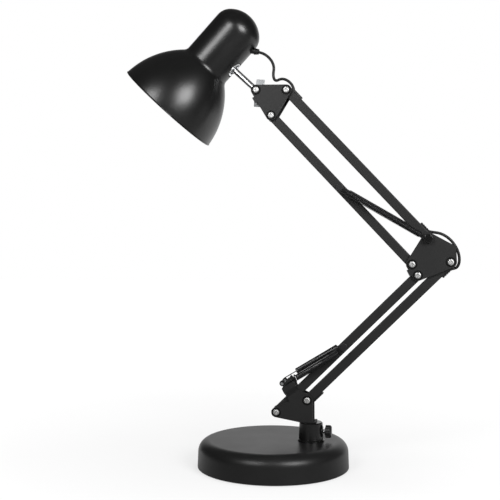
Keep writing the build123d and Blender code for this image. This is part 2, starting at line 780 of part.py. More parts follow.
with BuildPart() as tilt_washers:
    for side in (-1, 1):
        near = rod_eye_width / 2 + washer_clearance
        far = plate_inner - washer_clearance
        low, high = sorted((side * near, side * far))
        pin(head_tilt, low, high, washer_radius)
    pin(head_tilt, -plate_inner, plate_inner, bolt_radius + running_clearance, mode=Mode.SUBTRACT)
save(tilt_washers.part, "tilt_washers")

wing_start = plate_outer + bar_side_gap

with BuildPart() as wing_nut:
    pin(head_tilt, wing_start, wing_start + wing_hub_height, wing_hub_radius)
    for turn in (wing_angle, wing_angle + 180):
        run = polar((0, 0), 1, turn)
        with BuildSketch(Plane(origin=(head_tilt[0], wing_start, head_tilt[1]), x_dir=(run[0], 0, run[1]),
                               z_dir=(-run[1], 0, run[0]))):
            with BuildLine():
                Polyline(
                    (0, 0),
                    (wing_hub_radius, 0),
                    (wing_reach, wing_tip_lift),
                    (wing_reach, wing_tip_lift + wing_sheet),
                    (wing_hub_radius, wing_sheet),
                    (0, wing_sheet),
                    close=True,
                )
            make_face()
        extrude(amount=wing_width / 2, both=True)
    pin(head_tilt, wing_start, wing_start + 2 * wing_hub_height, bolt_radius + running_clearance,
        mode=Mode.SUBTRACT)
save(wing_nut.part, "wing_nut")

rod_run = polar((0, 0), 1, rod_angle)
neck_inner_radius = shade_neck_radius - shade_wall
holder_leg_face = neck_inner_radius - holder_leg_gap
cup_floor = rod_reach - holder_leg_face - cup_wall
stud_end = rod_reach - holder_leg_face + holder_leg_thickness + swivel_nut_height + stud_tail


def rod_plane(along):
    """A plane square to the rod, at a distance from the tilt bolt."""
    start = polar(head_tilt, along, rod_angle)
    return Plane(origin=(start[0], 0, start[1]), x_dir=(0, 1, 0), z_dir=(rod_run[0], 0, rod_run[1]))


with BuildPart() as head_rod:
    pin(head_tilt, -rod_eye_width / 2, rod_eye_width / 2, rod_eye_radius)
    with BuildSketch(rod_plane(0)):
        Circle(rod_radius)
    extrude(amount=cup_floor)
    with BuildSketch(rod_plane(cup_floor)):
        Circle(stud_radius)
    extrude(amount=stud_end - cup_floor)
    pin(head_tilt, -plate_inner, plate_inner, bolt_radius + running_clearance, mode=Mode.SUBTRACT)
save(head_rod.part, "head_rod")

with BuildPart() as swivel_cup:
    with BuildSketch(rod_plane(cup_floor)):
        Circle(cup_radius)
        Circle(stud_radius + running_clearance, mode=Mode.SUBTRACT)
    extrude(amount=cup_wall - running_clearance)
    with BuildSketch(rod_plane(cup_floor)):
        Circle(cup_radius)
        Circle(cup_radius - cup_wall, mode=Mode.SUBTRACT)
    extrude(amount=-cup_height)
save(swivel_cup.part, "swivel_cup")

with BuildPart() as swivel_nut:
    with BuildSketch(rod_plane(rod_reach - holder_leg_face + holder_leg_thickness + running_clearance)):
        RegularPolygon(swivel_nut_width / 2, 6, major_radius=False)
        Circle(stud_radius + running_clearance, mode=Mode.SUBTRACT)
    extrude(amount=swivel_nut_height)
save(swivel_nut.part, "swivel_nut")

# Shade and what it holds
grommet_wall = on_shade(grommet_station, shade_neck_radius)
grommet_run = polar((0, 0), 1, grommet_angle)


def grommet_plane(along):
    """A plane square to the cord grommet, at a distance outwards from the neck's surface."""
    start = polar(grommet_wall, along, grommet_angle)
    return Plane(origin=(start[0], 0, start[1]), x_dir=(0, 1, 0), z_dir=(grommet_run[0], 0, grommet_run[1]))


def dome_joint(inset):
    """Where the dome's shoulder arc meets its crown arc, for the outer or the inner face."""
    shoulder = shade_dome_shoulder - inset
    across = shade_neck_radius - shade_dome_shoulder
    height = shade_dome_height - inset
    crown = (across**2 + height**2 - shoulder**2) / (2 * (height - shoulder))
    lean = math.atan2(crown - height, across)
    return (across + shoulder * math.cos(lean), shade_neck_end + shoulder * math.sin(lean))


with BuildPart() as shade:
    for inset, mode in ((0.0, Mode.ADD), (shade_wall, Mode.SUBTRACT)):
        with BuildSketch(shade_plane):
            with BuildLine():
                Line((0, 0), (shade_rim_radius - inset, 0))
                RadiusArc((shade_rim_radius - inset, 0), (shade_neck_radius - inset, shade_shoulder),
                          -(shade_bowl_radius - inset))
                neck = shade_neck_radius - inset
                Line((neck, shade_shoulder), (neck, shade_neck_end))
                rise = TangentArc((neck, shade_neck_end), dome_joint(inset), tangent=(0, 1))
                TangentArc(rise @ 1, (0, shade_neck_end + shade_dome_height - inset), tangent=rise % 1)
                Line((0, shade_neck_end + shade_dome_height - inset), (0, 0))
            face = make_face()
            shoulder = face.vertices().sort_by_distance(Vector(neck, shade_shoulder))[0]
            fillet(shoulder, shade_fillet + inset)
        revolve(axis=shade_axis, mode=mode)
    with BuildSketch(shade_plane):
        with Locations((shade_rim_radius - shade_wall / 2, rim_roll_radius)):
            Circle(rim_roll_radius)
    revolve(axis=shade_axis)
    with BuildSketch(rod_plane(rod_reach - shade_neck_radius - shade_wall)):
        Circle(neck_hole_radius)
    extrude(amount=4 * shade_wall, mode=Mode.SUBTRACT)
    with BuildSketch(grommet_plane(-grommet_length)):
        Circle(grommet_neck_radius + running_clearance)
    extrude(amount=2 * grommet_length, mode=Mode.SUBTRACT)
save(shade.part, "shade")

with BuildPart() as cord_grommet:
    with BuildSketch(grommet_plane(-grommet_inside - 2 * shade_wall)):
        Circle(grommet_neck_radius)
    extrude(amount=grommet_inside + grommet_length)
    with BuildSketch(grommet_plane(grommet_inside)):
        Circle(grommet_radius)
    extrude(amount=grommet_length - grommet_inside, taper=grommet_taper)
    with BuildSketch(grommet_plane(-grommet_length)):
        Circle(lead_radius + lead_hole_clearance)
    extrude(amount=3 * grommet_length, mode=Mode.SUBTRACT)
save(cord_grommet.part, "cord_grommet")


def shade_station(s):
    """A plane square to the shade's axis at a station."""
    start = polar(rim_point, s, shade_axis_angle)
    return Plane(origin=(start[0], 0, start[1]), x_dir=(0, 1, 0), z_dir=(shade_along[0], 0, shade_along[1]))


leg_middle = (holder_leg_end + holder_plate_station + holder_plate_thickness) / 2

with BuildPart() as holder_plate:
    with BuildSketch(shade_station(holder_plate_station)):
        Circle(neck_inner_radius - holder_plate_clearance)
        Circle(nipple_radius + running_clearance, mode=Mode.SUBTRACT)
    extrude(amount=holder_plate_thickness)
    with BuildSketch(rod_plane(rod_reach - holder_leg_face)):
        with Locations((0, rod_station - leg_middle)):
            Rectangle(holder_leg_width, holder_plate_station + holder_plate_thickness - holder_leg_end)
        Circle(stud_radius + running_clearance, mode=Mode.SUBTRACT)
    extrude(amount=holder_leg_thickness)
save(holder_plate.part, "holder_plate")

with BuildPart() as lamp_holder:
    with BuildSketch(shade_plane):
        with BuildLine():
            Polyline(
                (holder_bore_radius, holder_mouth),
                (holder_radius - holder_edge, holder_mouth),
                (holder_radius, holder_mouth + holder_edge),
                (holder_radius, holder_mouth + holder_collar),
                (holder_radius - holder_step, holder_mouth + holder_collar + holder_step),
                (holder_radius - holder_step, holder_plate_station - holder_cone),
                (nipple_radius + holder_shoulder, holder_plate_station),
                (nipple_radius, holder_plate_station),
                (nipple_radius, nipple_end),
                (nipple_bore_radius, nipple_end),
                (nipple_bore_radius, holder_floor + contact_radius),
                (0, holder_floor + contact_radius),
                (0, holder_floor),
                (holder_bore_radius, holder_floor),
                close=True,
            )
        make_face()
    revolve(axis=shade_axis)
save(lamp_holder.part, "lamp_holder")

with BuildPart() as nipple_nut:
    with BuildSketch(shade_station(holder_plate_station + holder_plate_thickness)):
        RegularPolygon(nipple_nut_width / 2, 6, major_radius=False)
        Circle(nipple_radius + running_clearance, mode=Mode.SUBTRACT)
    extrude(amount=nipple_nut_height)
save(nipple_nut.part, "nipple_nut")

shell_radius = holder_bore_radius - running_clearance
with BuildPart() as contact_shell:
    with BuildSketch(shade_station(contact_shell_start)):
        Circle(shell_radius)
        Circle(shell_radius - contact_shell_wall, mode=Mode.SUBTRACT)
    extrude(amount=holder_floor - contact_shell_start - contact_height)
save(contact_shell.part, "contact_shell")

with BuildPart() as centre_contact:
    with BuildSketch(shade_station(holder_floor)):
        Circle(contact_radius)
    extrude(amount=-contact_height)
save(centre_contact.part, "centre_contact")

cap_end = holder_floor - contact_height - bulb_cap_gap
with BuildPart() as bulb_cap:
    with BuildSketch(shade_plane):
        with BuildLine():
            Polyline(
                (0, cap_end),
                (contact_radius, cap_end),
                (bulb_cap_radius - bulb_cap_edge, cap_end - bulb_cap_cone),
                (bulb_cap_radius, cap_end - bulb_cap_cone - bulb_cap_edge),
                (bulb_cap_radius, bulb_cap_start),
                (0, bulb_cap_start),
                close=True,
            )
        make_face()
    revolve(axis=shade_axis)
save(bulb_cap.part, "bulb_cap")

glass_top = bulb_cap_start - bulb_seat_gap
with BuildPart() as bulb_glass:
    for inset, mode in ((0.0, Mode.ADD), (bulb_glass_wall, Mode.SUBTRACT)):
        with BuildSketch(shade_plane):
            with BuildLine():
                neck = bulb_cap_radius - bulb_glass_wall - inset
                belly_out, belly_up = polar((0, 0), bulb_radius - inset, bulb_belly_angle)
                belly = (belly_out, bulb_centre + belly_up)
                tip = (0, bulb_centre - bulb_radius + inset)
                Line(tip, (0, glass_top))
                Line((0, glass_top), (neck, glass_top))
                Line((neck, glass_top), belly)
                ThreePointArc(belly, (bulb_radius - inset, bulb_centre), tip)
            make_face()
        revolve(axis=shade_axis, mode=mode)
save(bulb_glass.part, "bulb_glass")


# Lead: straight runs joined by arcs as large as the runs allow
def route_radii(points):
    """For each corner of a route, an arc that takes a set share of the shorter run beside it."""
    radii = []
    for before, corner, after in zip(points, points[1:], points[2:]):
        run_in = Vector(*corner) - Vector(*before)
        run_out = Vector(*after) - Vector(*corner)
        turn = math.radians(run_in.get_angle(run_out))
        radii.append(lead_bend_share * min(run_in.length, run_out.length) / math.tan(turn / 2))
    return radii


def lead(name, flat_points):
    """Writes a stretch of the lead along points of the arm plane and prints its size."""
    points = [(x, 0, z) for x, z in flat_points]
    radii = route_radii(points)
    with BuildPart() as tube:
        with BuildLine() as route:
            FilletPolyline(*points, radius=radii)
        with BuildSketch(Plane(origin=route.wire() @ 0, z_dir=route.wire() % 0)):
            Circle(lead_radius)
        sweep(path=route.wire())
    length = route.wire().length
    section = math.pi * lead_radius**2
    print(name, "length", round(length, 1), "radii", [round(r, 1) for r in radii],
          "volume over section times length", round(tube.part.volume / (section * length), 4))
    save(tube.part, name)


def on_bar(start, angle, side, along, out):
    """A point of the arm plane beside a bar: along it from a pivot, and out from its middle line."""
    return polar(polar(start, along, angle), out, angle + side)


def bar_exit(start, angle, side):
    """The points where the lead leaves a bar: at its wall, and clear of its clip."""
    slope = (lead_axis_along - lead_wall_along) / (bar_half - bar_wall)
    clear = bar_half + clip_proud + lead_clear
    wall = on_bar(start, angle, side, lead_wall_along, bar_half - bar_wall)
    outside = on_bar(start, angle, side, lead_wall_along - slope * (clear - bar_half + bar_wall), clear)
    return wall, outside


def tube_lead(name, start, pitch, angle, side):
    """Writes the stretch of lead inside a bar, from wall to wall."""
    far = polar(start, pitch, angle)
    lead(name, [
        on_bar(start, angle, side, lead_wall_along, bar_half - bar_wall),
        on_bar(start, angle, side, lead_axis_along, 0),
        on_bar(far, angle + 180, -side, lead_axis_along, 0),
        on_bar(far, angle + 180, -side, lead_wall_along, bar_half - bar_wall),
    ])


tube_lead("upper_bar_lead", elbow_rivet, upper_bar_pitch, upper_bar_angle, -90)
tube_lead("lower_bar_lead", lower_main, lower_bar_pitch, lower_bar_angle, -90)

elbow_out = bar_exit(elbow_rivet, upper_bar_angle, -90)
elbow_in = bar_exit(elbow_main, lower_bar_angle + 180, 90)
lead("elbow_lead", [
    elbow_out[0],
    elbow_out[1],
    *[(elbow_main[0] + right, elbow_main[1] + up) for right, up in elbow_lead_bends],
    elbow_in[1],
    elbow_in[0],
])

head_in = bar_exit(head_main, upper_bar_angle + 180, 90)
lead("head_lead", [
    on_shade(nipple_end, 0),
    *[on_shade(nipple_end + beyond, out) for beyond, out in head_lead_inside],
    polar(grommet_wall, -head_lead_grommet_run[0], grommet_angle),
    polar(grommet_wall, head_lead_grommet_run[1], grommet_angle),
    *[(head_main[0] + right, head_main[1] + up) for right, up in head_lead_bends],
    head_in[1],
    head_in[0],
])


# Springs: one wire each, from loop to loop
def bend(point, tangent, end, end_tangent):
    """Two tangent arcs between two points with given directions."""
    chord = end - point
    both = tangent + end_tangent
    spread = 2 * (1 - tangent.dot(end_tangent))
    reach = (math.sqrt(chord.dot(both) ** 2 + spread * chord.dot(chord)) - chord.dot(both)) / spread
    joint = (point + tangent * reach + end - end_tangent * reach) * 0.5
    joint_tangent = (end - end_tangent * reach - point - tangent * reach).normalized()
    TangentArc(point, joint, tangent=tangent)
    TangentArc(joint, end, tangent=joint_tangent)


def spring(name, start, end, y, turns, reaches, lift, flip):
    """Writes a spring whose end loops hang on two pins, and prints the least gap between its turns.

    Each end is its pin's centre and radius. The coil lies beside the line from pin to pin by the lift,
    on the side that flip gives.
    """
    start_pin, start_radius = start
    end_pin, end_radius = end
    start_reach, end_reach = reaches
    angle = bearing(start_pin, end_pin)
    coil_radius = (spring_diameter - wire_diameter) / 2
    loop_slack = coil_radius - wire_radius - loop_seat_gap
    span = math.dist(start_pin, end_pin)
    run = polar((0, 0), 1, angle)
    axis_start = polar(start_pin, flip * lift, angle + 90)
    frame = Plane(origin=(axis_start[0], y, axis_start[1]), x_dir=(0, flip, 0), z_dir=(run[0], 0, run[1]))

    def place(along, up, across):
        return frame.from_local_coords(Vector(across, up, along))

    def heading(along, up, across):
        return frame.from_local_coords(Vector(across, up, along)) - frame.origin

    coil_start = start_reach
    coil_end = span - end_reach
    pitch = (coil_end - coil_start) / turns

    def coil(turn):
        """A point of the coil and its direction, for a turn counted in degrees from its start."""
        theta = math.radians(hook_lead_in + turn)
        along = coil_start + pitch * turn / 360
        point = place(along, coil_radius * math.cos(theta), coil_radius * math.sin(theta))
        run = heading(pitch / (2 * math.pi), -coil_radius * math.sin(theta), coil_radius * math.cos(theta))
        return point, run.normalized()

    def loop_points(centre, way):
        """The free end, the end of the straight, and the round of a loop, from its tip towards the coil."""
        ring = []
        for turn in (hook_turn, hook_turn / 2, 0):
            along, up = polar((0, 0), coil_radius, 90 - turn)
            ring.append((centre - way * along, up - lift))
        along, up = polar((0, 0), wire_diameter, -hook_turn)
        free = (ring[0][0] - way * along, ring[0][1] + up)
        return free, ring

    total = 360 * turns - 2 * hook_lead_in
    steps = 2 * turns
    with BuildPart() as wire:
        with BuildLine() as path:
            free, ring = loop_points(loop_slack - start_radius, 1)
            Line(place(*free, 0), place(*ring[0], 0))
            ThreePointArc(*[place(*p, 0) for p in ring])
            shank = place(coil_start - hook_bend_length, coil_radius - lift, 0)
            Line(place(*ring[2], 0), shank)
            first, first_run = coil(0)
            bend(shank, heading(1, 0, 0), first, first_run)
            for k in range(steps):
                p0, t0 = coil(total * k / steps)
                p1, t1 = coil(total * (k + 1) / steps)
                bend(p0, t0, p1, t1)
            last, last_run = coil(total)
            shank = place(coil_start + pitch * total / 360 + hook_bend_length, coil_radius - lift, 0)
            bend(last, last_run, shank, heading(1, 0, 0))
            free, ring = loop_points(span + end_radius - loop_slack, -1)
            Line(shank, place(*ring[2], 0))
            ThreePointArc(*[place(*p, 0) for p in reversed(ring)])
            Line(place(*ring[0], 0), place(*free, 0))
        whole = path.wire()
        with BuildSketch(Plane(origin=whole @ 0, z_dir=whole % 0)):
            Circle(wire_radius)
        sweep(path=whole)
    count = int(4 * whole.length / wire_diameter)
    samples = [whole @ (k / count) for k in range(count + 1)]
    apart = 12
    window = 8 * apart
    least = min((first - second).length
                for k, first in enumerate(samples) for second in samples[k + apart:k + window])
    print(name, "least gap to itself", round(least - wire_diameter, 2))
    save(wire.part, name)


for side, place_name in ((-1, "front"), (1, "rear")):
    y = side * spring_plane
    spring(f"upper_spring_{place_name}", (elbow_rivet, spring_pin_radius),
           (upper_spring_pin, spring_pin_radius), y, upper_turns, (upper_loop_reach, upper_loop_reach),
           upper_coil_lift, -side)
    spring(f"lower_spring_{place_name}", (anchor, anchor_pin_radius),
           (lower_spring_pin, spring_pin_radius), y, lower_turns, (lower_loop_reach, far_loop_reach),
           lower_coil_lift, side)
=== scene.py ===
import math

import bmesh
import bpy
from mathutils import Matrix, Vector


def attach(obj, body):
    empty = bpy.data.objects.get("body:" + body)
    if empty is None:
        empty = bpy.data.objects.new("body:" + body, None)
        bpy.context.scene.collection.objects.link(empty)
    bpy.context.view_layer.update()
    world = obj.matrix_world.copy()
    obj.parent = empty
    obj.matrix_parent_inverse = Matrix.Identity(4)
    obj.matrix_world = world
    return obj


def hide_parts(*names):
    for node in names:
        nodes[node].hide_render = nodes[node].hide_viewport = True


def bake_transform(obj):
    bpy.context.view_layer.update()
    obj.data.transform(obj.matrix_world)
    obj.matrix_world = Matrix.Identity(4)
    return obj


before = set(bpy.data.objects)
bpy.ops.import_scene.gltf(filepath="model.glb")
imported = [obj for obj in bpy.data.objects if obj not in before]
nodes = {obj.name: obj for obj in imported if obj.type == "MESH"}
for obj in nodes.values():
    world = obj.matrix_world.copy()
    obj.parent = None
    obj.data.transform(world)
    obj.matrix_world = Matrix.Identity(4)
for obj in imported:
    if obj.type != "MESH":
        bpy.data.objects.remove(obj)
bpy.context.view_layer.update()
scene = bpy.context.scene
scene.view_settings.view_transform = "Standard"

MM = 0.001


# Materials

MIX_FIRST, MIX_SECOND, MIX_RESULT = 6, 7, 2  # the colour sockets of a Mix node
FACES_AXIS = -4.0 * MM                       # a face of the shade under this looks at its axis


def srgb(code):
    """An sRGB hex value as a linear colour."""
    parts = [int(code[k:k + 2], 16) / 255 for k in (1, 3, 5)]
    return [p / 12.92 if p <= 0.04045 else ((p + 0.055) / 1.055) ** 2.4 for p in parts] + [1.0]


def add(tree, kind, settings=None, inputs=None):
    """One node with its settings; an input is a value or another node's socket."""
    made = tree.nodes.new(kind)
    for name, value in (settings or {}).items():
        setattr(made, name, value)
    for name, value in (inputs or {}).items():
        if isinstance(value, bpy.types.NodeSocket):
            tree.links.new(value, made.inputs[name])
        else:
            made.inputs[name].default_value = value
    return made


def finish_of(name, dark, light, shader, rough, grit_mm, grit_height_mm, cloud_mm=30.0, pores=False):
    """A surface with cloudy colour between two shades, cloudy roughness and a fine grit or pores in relief."""
    material = bpy.data.materials.new(name)
    material.use_nodes = True
    tree = material.node_tree
    tree.nodes.clear()
    place = add(tree, "ShaderNodeTexCoord").outputs["Object"]
    cloud = add(tree, "ShaderNodeTexNoise", None,
                {"Vector": place, "Scale": 1 / (cloud_mm * MM), "Detail": 4.0, "Roughness": 0.6})
    colour = add(tree, "ShaderNodeMix", {"data_type": "RGBA"},
                 {"Factor": cloud.outputs["Fac"], MIX_FIRST: srgb(dark), MIX_SECOND: srgb(light)})
    patch = add(tree, "ShaderNodeMapRange", None,
                {"Value": cloud.outputs["Fac"], "To Min": rough[0], "To Max": rough[1]})
    grit_scale = 1 / (grit_mm * MM)
    if pores:
        grit = add(tree, "ShaderNodeTexVoronoi", None,
                   {"Vector": place, "Scale": grit_scale}).outputs["Distance"]
    else:
        grit = add(tree, "ShaderNodeTexNoise", None,
                   {"Vector": place, "Scale": grit_scale, "Detail": 2.0}).outputs["Fac"]
    relief = add(tree, "ShaderNodeBump", None,
                 {"Height": grit, "Strength": 0.5, "Distance": grit_height_mm * MM})
    surface = add(tree, "ShaderNodeBsdfPrincipled", None,
                  {"Base Color": colour.outputs[MIX_RESULT], "Roughness": patch.outputs["Result"],
                   "Normal": relief.outputs["Normal"], **shader})
    add(tree, "ShaderNodeOutputMaterial", None, {"Surface": surface.outputs["BSDF"]})
    return material


# Polyester powder coat baked on sheet steel: deep black, satin, with a faint orange peel.
# The peel of a real coat is about 1 mm across; it is drawn at 1.6 mm so that it shows.
powder_coat = finish_of("powder_coat_satin_black", "#171717", "#1f1f1f",
                        {"IOR": 1.5, "Specular IOR Level": 0.25}, rough=(0.44, 0.52),
                        grit_mm=1.6, grit_height_mm=0.012)

# The same coat laid thicker on the spun base, which shines a little more.
base_coat = finish_of("powder_coat_base_black", "#101010", "#161616",
                      {"IOR": 1.5, "Specular IOR Level": 0.3}, rough=(0.34, 0.42),
                      grit_mm=1.8, grit_height_mm=0.01)

# Black oxide under oil on the spring pins and the post: almost black, greyer than paint, with a dull metal sheen.
black_oxide = finish_of("black_oxide_steel", "#1c1c1d", "#2b2b2c",
                        {"Metallic": 0.6}, rough=(0.38, 0.5),
                        grit_mm=0.7, grit_height_mm=0.008, cloud_mm=6.0)

# Cold drawn spring wire, blackened: the round wire catches a thin line of light on each turn.
spring_wire = finish_of("blackened_spring_wire", "#121213", "#202021",
                        {"Metallic": 0.3, "Specular IOR Level": 0.4}, rough=(0.36, 0.46),
                        grit_mm=0.5, grit_height_mm=0.005, cloud_mm=5.0)

# Chromium plate on turned steel: bright, with a handling haze that softens what it mirrors.
chrome_plate = finish_of("chromium_plate", "#d4d5d6", "#e6e7e8",
                         {"Metallic": 1.0}, rough=(0.26, 0.32),
                         grit_mm=2.0, grit_height_mm=0.0005, cloud_mm=8.0)

# Nickel plate over rolled bolt heads: pale grey, softer than chromium, so that a head looks evenly bright.
nickel_plate = finish_of("nickel_plate", "#b0b0af", "#cacac9",
                         {"Metallic": 1.0}, rough=(0.46, 0.54),
                         grit_mm=1.0, grit_height_mm=0.001, cloud_mm=5.0)

# Die-cast zinc of the wing nut: pale grey and dry, a little grainy from the die.
die_cast_zinc = finish_of("die_cast_zinc", "#a3a5a7", "#b9bbbd",
                          {"Metallic": 0.5}, rough=(0.45, 0.58),
                          grit_mm=0.9, grit_height_mm=0.01, cloud_mm=5.0)

# Black stoving enamel on the turned rivet and socket: blacker and glossier than the plates,
# so that a rim or an edge catches the light.
black_enamel = finish_of("black_stoving_enamel", "#070707", "#0c0c0c",
                         {"IOR": 1.52}, rough=(0.2, 0.27),
                         grit_mm=1.2, grit_height_mm=0.004, cloud_mm=6.0)

# Vulcanised fibre, punched into washers: very black and dull, so that a bolt stands out against it.
vulcanised_fibre = finish_of("vulcanised_fibre_black", "#060606", "#0b0b0b",
                             {"IOR": 1.5, "Specular IOR Level": 0.12}, rough=(0.55, 0.65),
                             grit_mm=1.0, grit_height_mm=0.01, cloud_mm=5.0)

# Bright zinc plate on nuts and pressings: grey, slightly bluish, silky.
zinc_plate = finish_of("bright_zinc_plate", "#b0b3b5", "#c8cbcd",
                       {"Metallic": 1.0}, rough=(0.36, 0.5),
                       grit_mm=0.8, grit_height_mm=0.006, cloud_mm=6.0)

# Turned mild steel, left bare: pale grey with a soft sheen.
turned_steel = finish_of("turned_mild_steel", "#b3b4b5", "#c9cacb",
                         {"Metallic": 1.0}, rough=(0.2, 0.32),
                         grit_mm=0.6, grit_height_mm=0.004, cloud_mm=6.0)

# Grey iron, as cast: dark and grainy.
cast_iron = finish_of("grey_cast_iron", "#2b2a29", "#3a3836",
                      {"Metallic": 0.4}, rough=(0.6, 0.75),
                      grit_mm=1.2, grit_height_mm=0.08, cloud_mm=12.0)

# Closed-cell foam rubber: dull black with fine pores.
foam_rubber = finish_of("closed_cell_foam_rubber", "#161616", "#222222",
                        {"IOR": 1.45}, rough=(0.85, 0.95),
                        grit_mm=1.0, grit_height_mm=0.06, cloud_mm=15.0, pores=True)

# Acetal and nylon mouldings: black, a dry matte from the spark-eroded mould.
moulded_nylon = finish_of("moulded_black_nylon", "#0c0c0c", "#141414",
                          {"IOR": 1.52, "Specular IOR Level": 0.35}, rough=(0.36, 0.48),
                          grit_mm=0.9, grit_height_mm=0.02, cloud_mm=10.0)

# Soft PVC sheath on the lead: matte black with a slight waxy bloom.
pvc_sheath = finish_of("soft_pvc_sheath", "#0e0e0e", "#161616",
                       {"IOR": 1.53, "Specular IOR Level": 0.25}, rough=(0.42, 0.55),
                       grit_mm=1.1, grit_height_mm=0.01, cloud_mm=8.0)

# Phenolic moulding of the lamp holder: hard, brown-black, glossy.
phenolic = finish_of("phenolic_moulding", "#17120f", "#231b17",
                     {"IOR": 1.6}, rough=(0.2, 0.3),
                     grit_mm=1.4, grit_height_mm=0.008, cloud_mm=12.0)

# Bare brass contacts: warm yellow with a dull film.
brass = finish_of("bare_brass", "#a8873f", "#c5a35a",
                  {"Metallic": 1.0}, rough=(0.25, 0.4),
                  grit_mm=0.8, grit_height_mm=0.005, cloud_mm=5.0)

# Rolled aluminium of the bulb's cap: bright, with a soft sheen.
rolled_aluminium = finish_of("rolled_aluminium", "#c3c4c5", "#d9dadb",
                             {"Metallic": 1.0}, rough=(0.22, 0.34),
                             grit_mm=0.5, grit_height_mm=0.005, cloud_mm=6.0)

# Opal glass: milky white, lets some light through, glossy outside.
opal_glass = finish_of("opal_glass", "#e9e6dd", "#f4f2ec",
                       {"IOR": 1.52, "Transmission Weight": 0.25}, rough=(0.16, 0.24),
                       grit_mm=3.0, grit_height_mm=0.002, cloud_mm=20.0)


def shade_coat(rim, along):
    """Satin black powder coat outside and white enamel inside, by which way a face looks from the axis."""
    material = finish_of("powder_coat_shade_two_sides", "#080808", "#0e0e0e",
                         {"IOR": 1.5, "Specular IOR Level": 0.5}, rough=(0.3, 0.35),
                         grit_mm=1.6, grit_height_mm=0.01)
    tree = material.node_tree
    coords = next(n for n in tree.nodes if n.type == "TEX_COORD")
    surface = next(n for n in tree.nodes if n.type == "BSDF_PRINCIPLED")
    black = surface.inputs["Base Color"].links[0].from_socket
    offset = add(tree, "ShaderNodeVectorMath", {"operation": "SUBTRACT"},
                 {0: coords.outputs["Object"], 1: rim})
    onto = add(tree, "ShaderNodeVectorMath", {"operation": "PROJECT"},
               {0: offset.outputs[0], 1: along})
    radial = add(tree, "ShaderNodeVectorMath", {"operation": "SUBTRACT"},
                 {0: offset.outputs[0], 1: onto.outputs[0]})
    facing = add(tree, "ShaderNodeVectorMath", {"operation": "DOT_PRODUCT"},
                 {0: radial.outputs[0], 1: coords.outputs["Normal"]})
    inside = add(tree, "ShaderNodeMath", {"operation": "LESS_THAN"},
                 {0: facing.outputs["Value"], 1: FACES_AXIS})
    two_sides = add(tree, "ShaderNodeMix", {"data_type": "RGBA"},
                    {"Factor": inside.outputs[0], MIX_FIRST: black, MIX_SECOND: srgb("#dddcd8")})
    tree.links.new(two_sides.outputs[MIX_RESULT], surface.inputs["Base Color"])
    return material


# Places of the arms, in millimetres, as in the part's source

def polar(point, distance, angle):
    """A point of the arm plane, as (x, z), at a distance and an angle from another."""
    turn = math.radians(angle)
    return (point[0] + distance * math.cos(turn), point[1] + distance * math.sin(turn))


def in_space(point, y=0.0):
    """A point of the arm plane in metres."""
    return Vector((point[0], y, point[1])) * MM


LOWER_PITCH, UPPER_PITCH = 244.5, 254.3  # between a bar's two pivots
LOWER_ANGLE, UPPER_ANGLE = 44.75, 133.0  # how the bars lean at rest
LOWER_LINK = (-42.1, 22.6)               # from a main bar's pivot to its link bar's
UPPER_LINK = (-36.6, 58.4)
SHADE_AXIS = 46.6                        # how the shade leans, from its rim to its top

lower_main = (44.1, 85.4)
lower_link = polar(lower_main, *LOWER_LINK)
elbow_main = polar(lower_main, LOWER_PITCH, LOWER_ANGLE)
elbow_link = polar(elbow_main, *LOWER_LINK)
elbow_rivet = polar(elbow_main, 38.66, 133.05)
elbow_upper = polar(elbow_rivet, *UPPER_LINK)
head_main = polar(elbow_rivet, UPPER_PITCH, UPPER_ANGLE)
head_link = polar(head_main, *UPPER_LINK)
head_tilt = polar(head_main, 38.3, 178.2)
upper_pin = polar(elbow_upper, 128.6, UPPER_ANGLE)
lower_pin = polar(lower_link, 118.9, LOWER_ANGLE)
ear_fold = (lower_main[0] - 24.5, 57.8 + 30.5)  # where the lower bracket's ear folds out
anchor_pin = polar(polar(ear_fold, 5.6, 36.3), 17.9, 126.3)
swivel = polar(head_tilt, 71.9, 136.6)
rim = polar(swivel, -93.9, SHADE_AXIS)
grommet = polar(polar(rim, 126.2, SHADE_AXIS), 32.0, SHADE_AXIS - 90)


# Finishes of the carried-over pieces

shade_material = shade_coat(in_space(rim), in_space(polar((0, 0), 1000, SHADE_AXIS)))
finishes = {
    powder_coat: ["lower_bracket", "elbow_bracket", "head_bracket", "lower_main_bar",
                  "lower_link_bar", "upper_main_bar", "upper_link_bar"],
    base_coat: ["base_cover"],
    shade_material: ["shade"],
    black_oxide: ["lower_spring_pin", "upper_spring_pin", "post"],
    black_enamel: ["elbow_rivet", "post_socket"],
    die_cast_zinc: ["wing_nut"],
    chrome_plate: ["head_rod", "swivel_cup"],
    nickel_plate: ["lower_bracket_bolts", "elbow_bolts", "head_bolts", "tilt_bolt"],
    zinc_plate: ["base_plate", "base_screws", "socket_nut", "lower_bracket_nuts", "elbow_nuts", "head_nuts",
                 "swivel_nut", "holder_plate", "nipple_nut"],
    turned_steel: ["lock_screw", "spring_anchor_pins"],
    cast_iron: ["base_weight"],
    foam_rubber: ["base_pad"],
    moulded_nylon: ["lock_knob", "lower_bracket_spacers", "elbow_spacers", "head_spacers", "tilt_washers",
                    "lower_main_plugs", "lower_link_plugs", "upper_main_plugs", "upper_link_plugs",
                    "lower_main_lead_clips", "upper_main_lead_clips", "cord_grommet"],
    phenolic: ["lamp_holder"],
    brass: ["contact_shell", "centre_contact"],
    rolled_aluminium: ["bulb_cap"],
    opal_glass: ["bulb_glass"],
}
for material, names in finishes.items():
    for name in names:
        mesh = nodes[name].data
        mesh.materials.clear()
        mesh.materials.append(material)


# Meshes made from rings of points

def skin(shape, rings):
    """Four-sided faces from each ring to the next."""
    for near, far in zip(rings, rings[1:]):
        for s in range(len(near)):
            beside = (s + 1) % len(near)
            shape.faces.new((near[s], near[beside], far[beside], far[s]))


